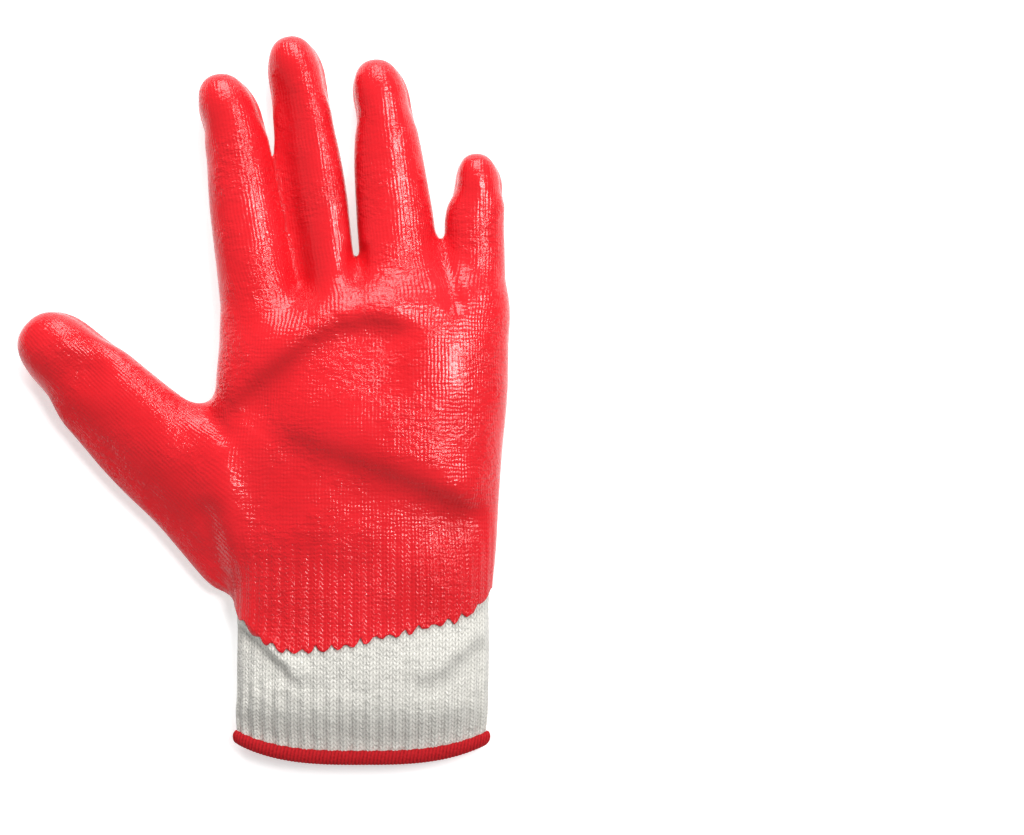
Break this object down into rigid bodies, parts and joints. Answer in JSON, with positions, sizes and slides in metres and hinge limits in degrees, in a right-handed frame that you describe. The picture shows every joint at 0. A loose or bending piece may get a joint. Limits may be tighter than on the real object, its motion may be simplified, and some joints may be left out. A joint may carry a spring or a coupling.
{
  "type": "latex palm coated work glove",
  "caption": "Hollow left-hand knitted work glove lying palm up, with a dipped coat over palm and fingertips, a rib cuff and an overlocked hem.",
  "frame": {"origin": "middle of the base of the glove's bounding box, on the surface it lies on", "axes": "+Y towards the fingertips, +X towards the little finger, +Z out of the palm"},
  "size_m": [0.161, 0.2406, 0.0257],
  "materials": {
    "latex_coat": "dipped crinkle latex, semi-gloss, red",
    "knit_liner": "cream cotton and polyester string knit, matte",
    "rib_cuff": "cream elastic rib knit, matte",
    "overlock_hem": "dark red overlock yarn, matte"
  },
  "bodies": {
    "root": {"knit_liner": "knit_liner", "rib_cuff": "rib_cuff", "latex_coat": "latex_coat", "overlock_hem": "overlock_hem"}
  },
  "joints": []
}
